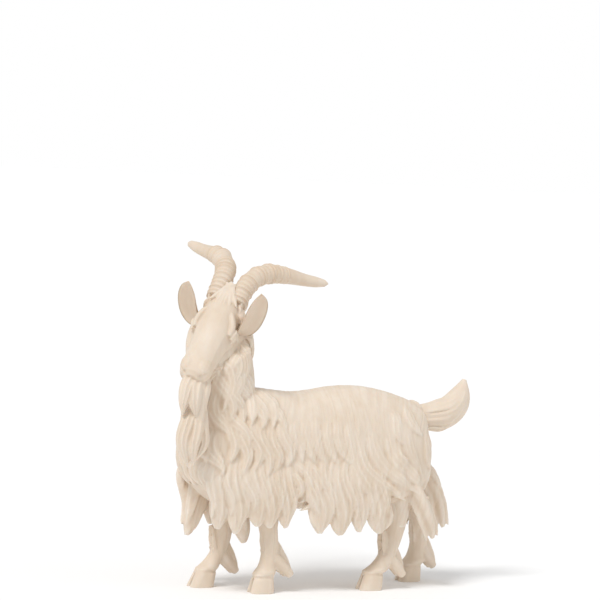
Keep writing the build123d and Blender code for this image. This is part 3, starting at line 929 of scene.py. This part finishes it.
def lay_forelock(clay):
    """Hair between the horns, fanned over the forehead, and short locks round the horns' roots."""
    for across, far, spread in FORELOCK:
        line = [
            on_head(across * 0.4, 1.9, -4.0),
            on_head(across * 0.8, 1.5, -1),
            on_head(across * spread * 0.7, 1.15, far * 0.45),
            on_head(across * spread, 0.7, far),
        ]
        hang_lock(clay, line, UP, 0.95, 0.6, 12, strands=2, bury=1.2, lift=0)
    for across, high, far in CROWN_TUFT:
        line = [
            on_head(across * 0.6, 0.2, -1.2),
            on_head(across, high * 0.7, -3.4),
            on_head(across * 1.5, high, far),
        ]
        hang_lock(clay, line, AHEAD, 1.3, 0.8, 9, strands=2, bury=1.2, lift=0, blunt=0.3)
    for side in (-1, 1):
        for across, up, along in HORN_ROOT_LOCKS:
            line = [
                on_head(side * across * 0.7, up + 0.2, along - 1.5),
                on_head(side * across, up, along),
                on_head(side * (across + 0.2), up - 1.8, along + 2.4),
            ]
            hang_lock(clay, line, LEFT * side, 1.2, 0.6, 9, strands=2, bury=1.2, lift=0.05, blunt=0.1)


def lay_beard(clay):
    """The beard's strands over a filling that joins them."""
    for line, half, thick in BEARD:
        points = [spot(*p) for p in line]
        hang_lock(clay, points, (-0.5, -0.85, 0.1), half, thick, bury=thick * 0.9, lift=0.1, blunt=0.1)
    filling = [spot(-41, -7.6, 74.5), spot(-44.4, -11.4, 69), spot(-44.6, -12.4, 62), spot(-44.6, -12.6, 52)]
    clay.lump(filling, [(3, 2.6), (3.5, 2.2), (3.3, 2.0), (2.1, 1.6)], (0.6, -0.8, 0))


class GOAT_OT_head(bpy.types.Operator):
    """Model the head with its face, forelock and beard"""

    bl_idname = "goat.head"
    bl_label = "Head and Beard"

    def execute(self, context):
        head = context.scene.goat_head
        clay = Clay()
        lay_face(clay, head.eye_radius * 1000)
        lay_ruff(clay, random.Random(3))
        lay_forelock(clay)
        lay_beard(clay)

        def finish(points, normals):
            for side in (-1, 1):
                for (across, up, along), radius, depth in HOLLOWS:
                    points = press(points, normals, on_head(side * across, up, along), radius, depth)
                for line, count, width, depth in (
                    (NOSTRIL, 16, 0.42, 0.35),
                    (MOUTH, 40, 0.45, head.mouth_depth * 1000),
                    (NOSE_RIDGE, 30, 0.8, -0.22),
                ):
                    cut = flowing([on_head(side * a, b, c) for a, b, c in line], count)
                    points = carve(points, normals, cut, width, depth)
            return points

        settle(fuse("head_carving", clay, head.voxel, 2, finish), "head")
        return {"FINISHED"}


# Horns and ears ----------------------------------------------------------------------------------

HORN = [
    (3.7, -2.0, 0.4),
    (4.0, -1.4, -6.5),
    (5.4, -2.6, -13.5),
    (8.6, -5.6, -19.5),
    (13.2, -9.6, -24.2),
    (19.2, -13.6, -28.2),
    (25.4, -16.4, -31.8),
]
RIDGED_SHARE = 0.63  # how much of a horn has ridges
HORN_MARKS = [0, 0.5, 0.62, 0.76, 0.9, 0.97, 1]  # shares of a horn's length
HORN_GIRTHS = [1, 1.06, 0.98, 0.76, 0.62, 0.42, 0.1]  # shares of its base radius
# Each ear: line from the skull to the tip, then which way its hollow faces, in the head's frame
EARS = {
    "left": (
        [(6.4, -7.6, 8.6), (9.2, -5.8, 7.2), (11.0, -1.4, 5.0), (12.0, 3.2, 3.0), (12.8, 8.0, 1.6)],
        (0.6, -0.2, 0.77),
    ),
    "right": (
        [(-6.4, -7.4, 8.2), (-9.4, -5.6, 7.2), (-11, -1.8, 6), (-11.8, 2.4, 4.8), (-12.3, 6.2, 3.8)],
        (-0.4, 0.25, 0.88),
    ),
}


class GoatHorns(bpy.types.PropertyGroup):
    """Settings of the horns and ears."""

    radius: bpy.props.FloatProperty(
        name="Horn radius", description="Radius of a horn at the skull", default=0.00325, unit="LENGTH"
    )
    rings: bpy.props.IntProperty(name="Rings", description="Ridges round each horn", default=17)
    ring_height: bpy.props.FloatProperty(
        name="Ring height", description="How far a ridge stands up", default=0.00055, unit="LENGTH"
    )
    ear_width: bpy.props.FloatProperty(
        name="Ear half width", description="Half width of an ear's leaf", default=0.0041, unit="LENGTH"
    )


def grid_object(name, rings):
    """A closed object through rings of points."""
    clay = Clay()
    clay.rings(rings)
    mesh = bpy.data.meshes.new(name)
    mesh.from_pydata([tuple(p) for p in clay.points], [], clay.faces)
    mesh.update()
    return finished(name, mesh)


class GOAT_OT_horns(bpy.types.Operator):
    """Model both horns"""

    bl_idname = "goat.horns"
    bl_label = "Horns"

    def execute(self, context):
        horns = context.scene.goat_horns
        base = horns.radius * 1000
        for side, word in ((1, "left"), (-1, "right")):
            chance = random.Random(11 + side)
            path = flowing([on_head(side * a, b, c) for a, b, c in HORN], 260)
            ridge_at = []
            for i in range(horns.rings):
                ridge_at.append(0.03 + RIDGED_SHARE * i / horns.rings + chance.uniform(-0.006, 0.006))
            knob = [chance.uniform(0.3, 1.6) for _ in ridge_at]
            rings = []
            for i, (point, ahead) in enumerate(zip(path, headings(path))):
                t = i / 259
                swell = base * float(np.interp(t, HORN_MARKS, HORN_GIRTHS))
                fade = min(max((0.72 - t) / 0.1, 0), 1)
                ridge = sum(k * math.exp(-(((t - r) / 0.009) ** 2)) for r, k in zip(ridge_at, knob)) * fade
                out = (UP - ahead * UP.dot(ahead)).normalized()
                across = ahead.cross(out)
                ring = []
                for turn in np.linspace(0, 2 * math.pi, 40, endpoint=False):
                    reach = max(swell * (1 - 0.16 * t * abs(math.sin(turn))), 0.25)
                    upper = max(0.5 + 0.5 * math.sin(turn + 0.3), 0.12)
                    reach += horns.ring_height * 1000 * ridge * upper * (1 - 0.3 * t) - 0.12 * fade
                    reach += 0.05 * math.sin(3 * turn + 9 * t) * fade
                    ring.append(point + across * (reach * math.cos(turn)) + out * (reach * math.sin(turn)))
                rings.append(ring)
            settle(grid_object(f"horn_{word}_carving", rings), f"horn_{word}", slot="horn_wood")
        return {"FINISHED"}


class GOAT_OT_ears(bpy.types.Operator):
    """Model both ears"""

    bl_idname = "goat.ears"
    bl_label = "Ears"

    def execute(self, context):
        half = context.scene.goat_horns.ear_width * 1000
        for word, (line, face_to) in EARS.items():
            path = flowing([on_head(*p) for p in line], 40)
            front = (LEFT * face_to[0] + UP * face_to[1] + AHEAD * face_to[2]).normalized()
            rings = []
            for i, (point, ahead) in enumerate(zip(path, headings(path))):
                t = i / 39
                root = 0.55 + 0.45 * math.sin(min(t / 0.38, 1) * math.pi / 2)
                tip = max(1 - max(0, (t - 0.35) / 0.65) ** 3.2, 0.02) ** 0.7
                wide = half * root * tip
                thick = 1.35 - 0.85 * t
                cup = 2.2 * math.sin(min(t * 2.2, 1) * math.pi / 2) * (1 - 0.5 * t)
                out = (front - ahead * front.dot(ahead)).normalized()
                across = out.cross(ahead)
                face = []
                for q in np.linspace(-1, 1, 15):
                    fold = 0.35 * math.exp(-(((q - 0.1) / 0.16) ** 2)) * math.sin(min(t * 1.6, 1) * math.pi)
                    rise = cup * (q * q - 0.55) * wide / half + fold
                    face.append(point + across * (wide * q) + out * rise)
                back = []
                for q in np.linspace(1, -1, 15)[1:-1]:
                    hull = cup * (q * q - 0.55) * wide / half - thick * (1 - q * q) ** 0.6 - 0.15
                    back.append(point + across * (wide * q) + out * hull)
                rings.append(face + back)
            ear = grid_object(f"ear_{word}_carving", rings)
            # painted shade: the inside of each ear's front face gets at least a fixed share of the hollow
            # mask, so it is painted darker than the wood
            mask = ear.data.attributes["hollow"].data
            for i in range(len(rings) * len(rings[0])):
                across = (i % len(rings[0])) / 7 - 1
                if abs(across) < 1:
                    mask[i].value = max(mask[i].value, 0.3 * (1 - across**4))
            settle(ear, f"ear_{word}")
        return {"FINISHED"}


# Tail and legs -----------------------------------------------------------------------------------


class GoatLimbs(bpy.types.PropertyGroup):
    """Settings of the tail and legs."""

    cleft_depth: bpy.props.FloatProperty(
        name="Cleft depth", description="Depth of the cleft between the claws", default=0.0009, unit="LENGTH"
    )
    voxel: bpy.props.FloatProperty(
        name="Voxel",
        description="Finest detail kept when a leg or the tail is fused",
        default=0.00028,
        unit="LENGTH",
    )


# The tail's middle line and how far its hair stands off it
TAIL = [
    (42.8, 58.2, 4.2),
    (47, 58.6, 4.7),
    (52.4, 59.4, 5.3),
    (56.6, 62.0, 5.1),
    (59.0, 66.2, 3.7),
    (60.3, 71.0, 0.7),
]


class GOAT_OT_tail(bpy.types.Operator):
    """Model the tail"""

    bl_idname = "goat.tail"
    bl_label = "Tail"

    def execute(self, context):
        clay = Clay()
        clay.node("tail")
        middle = flowing([spot(x, 0, z) for x, z, _ in TAIL], 22)
        for turn in np.linspace(0, 2 * math.pi, 9, endpoint=False):
            round_it = (0.12 * math.cos(turn), 0.72 * math.sin(turn), math.cos(turn))
            path = flowing([spot(x, 0, z) + Vector(round_it) * radius for x, z, radius in TAIL], 22)
            outs = [(p - m).normalized() for p, m in zip(path, middle)]
            stop = 22 if math.cos(turn) > -0.6 else 18
            clay.lock(path[:stop], outs[:stop], 2.1, 1.2, strands=2, bury=1.0, lift=0.1, blunt=0.2)
        settle(fuse("tail_carving", clay, context.scene.goat_limbs.voxel, 1), "tail")
        return {"FINISHED"}


# Legs: side, how far behind the centre the foot stands, root and tip of the pastern's tuft
FEET = {
    "leg_front_left": (-1, -16.1, (-13.5, 13.5), (-5.4, 5.6)),
    "leg_front_right": (1, -32.2, (-26.2, 12.5), (-18.9, 4.6)),
    "leg_hind_left": (-1, 24.1, (30.5, 12.0), (36.9, 4.6)),
    "leg_hind_right": (1, 46.2, (49.6, 12.5), (56.6, 4.7)),
}
TUFT_LOCKS = [(8.5, 0.0), (5.0, 0.9), (1.8, 2.2)]  # how high each lock starts, and how much shorter it is


class GOAT_OT_legs(bpy.types.Operator):
    """Model the four legs and their hooves"""

    bl_idname = "goat.legs"
    bl_label = "Legs"

    def execute(self, context):
        limbs = context.scene.goat_limbs
        for name, (side, foot, (root_x, root_z), (tip_x, tip_z)) in FEET.items():
            y = side * LEG_SPACING
            clay = Clay()
            clay.node(name)
            for face in (-1, 1):
                for rise, short in TUFT_LOCKS:
                    line = [
                        (root_x - 1.6, root_z + rise),
                        (root_x + 0.6, root_z + rise * 0.4 - 1),
                        ((root_x + tip_x) / 2 + 0.4, (root_z + tip_z) / 2 + rise * 0.12),
                        (tip_x - short * 0.8, tip_z - short * 0.15 + rise * 0.06),
                    ]
                    points = [spot(x, y + face * (1.6 - 0.45 * i), z) for i, (x, z) in enumerate(line)]
                    facing = (0.3, face, 0.25)
                    hang_lock(clay, points, facing, 2.5, 1.2, 14, strands=2, bury=1.5, lift=0.1, blunt=0.35)

            def band(long, wide, height):
                """A ring round the hoof."""
                return [
                    spot(foot + 0.9 + long * math.cos(a), y + wide * math.sin(a), height)
                    for a in np.linspace(0, 2 * math.pi, 60)
                ]

            def finish(points, normals):
                sole = points[:, 2] < 0.02
                toe = [spot(foot - 4.4 + 0.12 * z, y, z) for z in np.linspace(-0.5, 7.2, 16)]
                points = carve(points, normals, toe, 0.75, limbs.cleft_depth * 1000)
                points = carve(points, normals, band(4.0, 3.5, 7.2), 1.1, -0.55)
                points = carve(points, normals, band(4.4, 3.8, 5.4), 0.5, 0.4)
                shaft = np.clip((points[:, 2] - 9) / 4, 0, 1)
                across = points[:, 0] * 0.9 + points[:, 1] * 1.2
                points = combed(points, normals, across, points[:, 2], 0.28 * shaft, 21)
                points[sole, 2] = 0
                points[:, 2] = np.maximum(points[:, 2], 0)
                return points

            settle(fuse(f"{name}_carving", clay, limbs.voxel, 2, finish), name)
        return {"FINISHED"}


class GOAT_OT_dowels(bpy.types.Operator):
    """Give the dowels their wood"""

    bl_idname = "goat.dowels"
    bl_label = "Dowels"

    def execute(self, context):
        colours = context.scene.goat_wood
        material = wood("Dowel wood", colours.dowel_light, colours.dowel_dark)
        for name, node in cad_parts.items():
            if "dowel" in name:
                node.data.materials.clear()
                node.data.materials.append(material)
        return {"FINISHED"}


# Stage -------------------------------------------------------------------------------------------


CAMERA_SHIFT = (-0.0052, 0.2353)
FLOOR_REACH = 30.0  # metres
# Lights: name, where each shines from, power, and spread in degrees
SUNS = [("key", (-0.55, -0.3, 0.95), 1.6, 16), ("fill", (0.8, -0.5, 0.35), 0.3, 40)]


class GoatStage(bpy.types.PropertyGroup):
    """Settings of the camera, the light and the floor."""

    azimuth: bpy.props.FloatProperty(
        name="Azimuth",
        description="Camera's turn round the goat",
        default=math.radians(-25),
        unit="ROTATION",
    )
    elevation: bpy.props.FloatProperty(
        name="Elevation",
        description="Camera's angle above the horizon",
        default=math.radians(6.5),
        unit="ROTATION",
    )
    roll: bpy.props.FloatProperty(
        name="Roll",
        description="Camera's turn about its own line of sight",
        default=math.radians(3),
        unit="ROTATION",
    )
    distance: bpy.props.FloatProperty(
        name="Distance", description="From the camera to the goat", default=0.8, unit="LENGTH"
    )
    view_width: bpy.props.FloatProperty(
        name="View width", description="Width of the picture at the goat", default=0.2022, unit="LENGTH"
    )


class GOAT_OT_stage(bpy.types.Operator):
    """Set up the camera, the light and the floor"""

    bl_idname = "goat.stage"
    bl_label = "Camera and Light"

    def execute(self, context):
        stage = context.scene.goat_stage
        scene = context.scene
        turn, rise, roll = stage.azimuth, stage.elevation, stage.roll
        back = Vector((math.sin(turn) * math.cos(rise), -math.cos(turn) * math.cos(rise), math.sin(rise)))
        right = Vector((math.cos(turn), math.sin(turn), 0))
        up = back.cross(right)
        across = right * math.cos(roll) + up * math.sin(roll)
        upward = up * math.cos(roll) - right * math.sin(roll)
        target = spot(0, 0, 50) * MM
        camera = bpy.data.objects.new("camera", bpy.data.cameras.new("camera"))
        scene.collection.objects.link(camera)
        camera.data.sensor_width = 36
        camera.data.lens = 36 * stage.distance / stage.view_width
        camera.location = target + back * stage.distance
        camera.rotation_mode = "QUATERNION"
        camera.rotation_quaternion = Matrix((across, upward, back)).transposed().to_quaternion()
        camera.data.shift_x, camera.data.shift_y = CAMERA_SHIFT
        camera.data.clip_start = 0.05
        camera.data.clip_end = 50
        scene.camera = camera

        floor_mesh = bpy.data.meshes.new("floor")
        corners = [(x * FLOOR_REACH, y * FLOOR_REACH, 0) for x, y in ((-1, -1), (1, -1), (1, 1), (-1, 1))]
        floor_mesh.from_pydata(corners, [], [(0, 1, 2, 3)])
        floor = bpy.data.objects.new("floor", floor_mesh)
        scene.collection.objects.link(floor)
        paper = bpy.data.materials.new("Paper")
        paper.use_nodes = True
        shader = paper.node_tree.nodes["Principled BSDF"]
        shader.inputs["Base Color"].default_value = (0.99, 0.99, 0.99, 1)
        shader.inputs["Roughness"].default_value = 0.9
        floor_mesh.materials.append(paper)

        world = bpy.data.worlds.new("world")
        world.use_nodes = True
        tree = world.node_tree
        background = tree.nodes["Background"]
        background.inputs["Color"].default_value = (1, 1, 1, 1)
        # softer as a light than it looks as a backdrop
        seen = add_node(tree, "ShaderNodeLightPath")
        strength = add_node(tree, "ShaderNodeMapRange", {"To Min": 0.6, "To Max": 1.0})
        tree.links.new(seen.outputs["Is Camera Ray"], strength.inputs["Value"])
        tree.links.new(strength.outputs["Result"], background.inputs["Strength"])
        scene.view_settings.view_transform = "Standard"
        scene.world = world
        for name, way, power, spread in SUNS:
            light = bpy.data.lights.new(name, "SUN")
            light.energy = power
            light.angle = math.radians(spread)
            lamp = bpy.data.objects.new(name, light)
            lamp.rotation_mode = "QUATERNION"
            lamp.rotation_quaternion = (-Vector(way)).to_track_quat("-Z", "Y")
            scene.collection.objects.link(lamp)
        return {"FINISHED"}


class GOAT_PT_panel(bpy.types.Panel):
    """The goat's settings and steps"""

    bl_label = "Carved Goat"
    bl_idname = "GOAT_PT_panel"
    bl_space_type = "VIEW_3D"
    bl_region_type = "UI"
    bl_category = "Carved Goat"

    def draw(self, context):
        scene = context.scene
        for settings, steps in (
            (scene.goat_wood, ()),
            (scene.goat_coat, ("goat.body",)),
            (scene.goat_head, ("goat.head",)),
            (scene.goat_horns, ("goat.horns", "goat.ears")),
            (scene.goat_limbs, ("goat.tail", "goat.legs", "goat.dowels")),
            (scene.goat_stage, ("goat.stage",)),
        ):
            box = self.layout.box()
            for name in settings.__annotations__:
                box.prop(settings, name)
            for step in steps:
                box.operator(step)


SETTINGS = {
    "goat_wood": GoatWood,
    "goat_coat": GoatCoat,
    "goat_head": GoatHead,
    "goat_horns": GoatHorns,
    "goat_limbs": GoatLimbs,
    "goat_stage": GoatStage,
}
CLASSES = [
    *SETTINGS.values(),
    GOAT_OT_body,
    GOAT_OT_head,
    GOAT_OT_horns,
    GOAT_OT_ears,
    GOAT_OT_tail,
    GOAT_OT_legs,
    GOAT_OT_dowels,
    GOAT_OT_stage,
    GOAT_PT_panel,
]


def register():
    """Adds the classes and the scene's settings."""
    for cls in CLASSES:
        bpy.utils.register_class(cls)
    for name, cls in SETTINGS.items():
        setattr(bpy.types.Scene, name, bpy.props.PointerProperty(type=cls))


def unregister():
    """Takes them out again."""
    for name in SETTINGS:
        delattr(bpy.types.Scene, name)
    for cls in reversed(CLASSES):
        bpy.utils.unregister_class(cls)


def main():
    """Builds the whole scene."""
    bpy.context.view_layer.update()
    register()
    bpy.ops.goat.body()
    bpy.ops.goat.head()
    bpy.ops.goat.horns()
    bpy.ops.goat.ears()
    bpy.ops.goat.tail()
    bpy.ops.goat.legs()
    bpy.ops.goat.dowels()
    bpy.ops.goat.stage()


if __name__ == "__main__":
    main()
